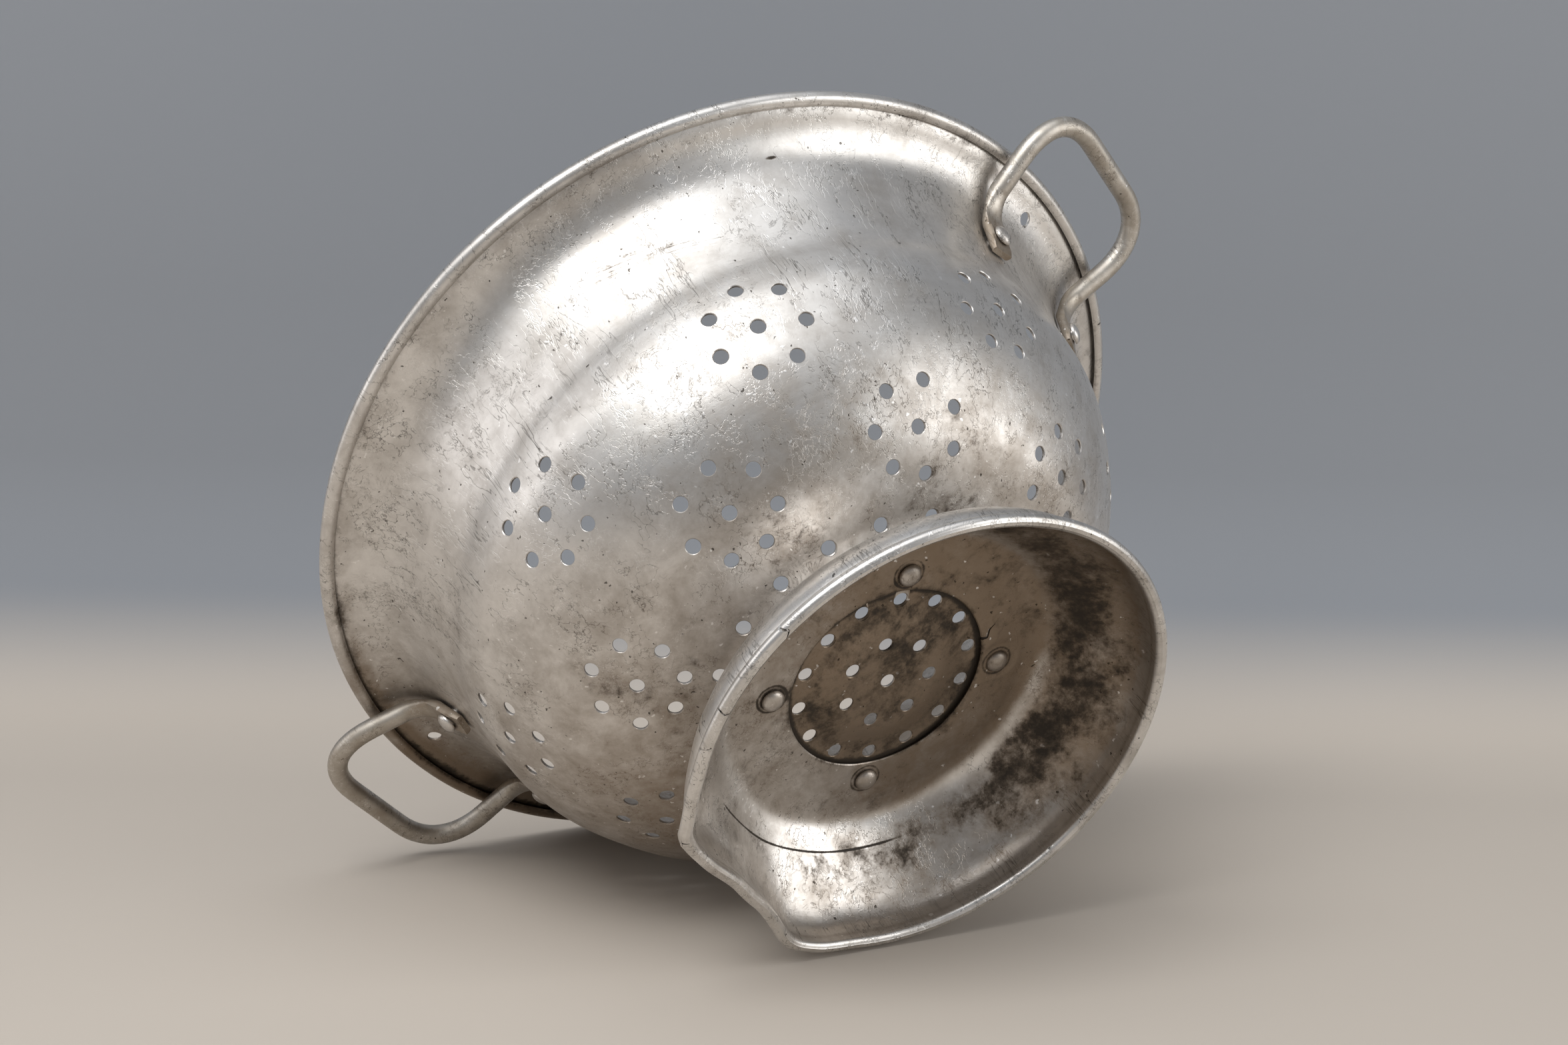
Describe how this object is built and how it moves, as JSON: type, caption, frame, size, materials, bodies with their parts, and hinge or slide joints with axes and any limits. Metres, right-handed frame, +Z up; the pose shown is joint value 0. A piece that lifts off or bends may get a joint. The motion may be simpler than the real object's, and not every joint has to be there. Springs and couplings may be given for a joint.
{
  "type": "footed colander",
  "caption": "Old spun aluminium colander: perforated bowl with a rolled rim, ring foot riveted under it, bent-rod side handles.",
  "frame": {"origin": "under the middle of the foot, on the plane the foot rests on", "axes": "+Z up along the bowl's axis, out of its mouth; +X towards one handle"},
  "size_m": [0.3472, 0.2994, 0.1516],
  "materials": {
    "spun_sheet": "worn satin",
    "foot_sheet": "worn satin, grimy inside",
    "rod": "worn smooth",
    "rivet": "dull"
  },
  "bodies": {
    "root": {"bowl": "spun_sheet", "foot_ring": "foot_sheet", "handle_right": "rod", "handle_left": "rod", "handle_rivet_1": "rivet", "handle_rivet_2": "rivet", "handle_rivet_3": "rivet", "handle_rivet_4": "rivet", "foot_rivet_1": "rivet", "foot_rivet_2": "rivet", "foot_rivet_3": "rivet", "foot_rivet_4": "rivet"}
  },
  "joints": []
}
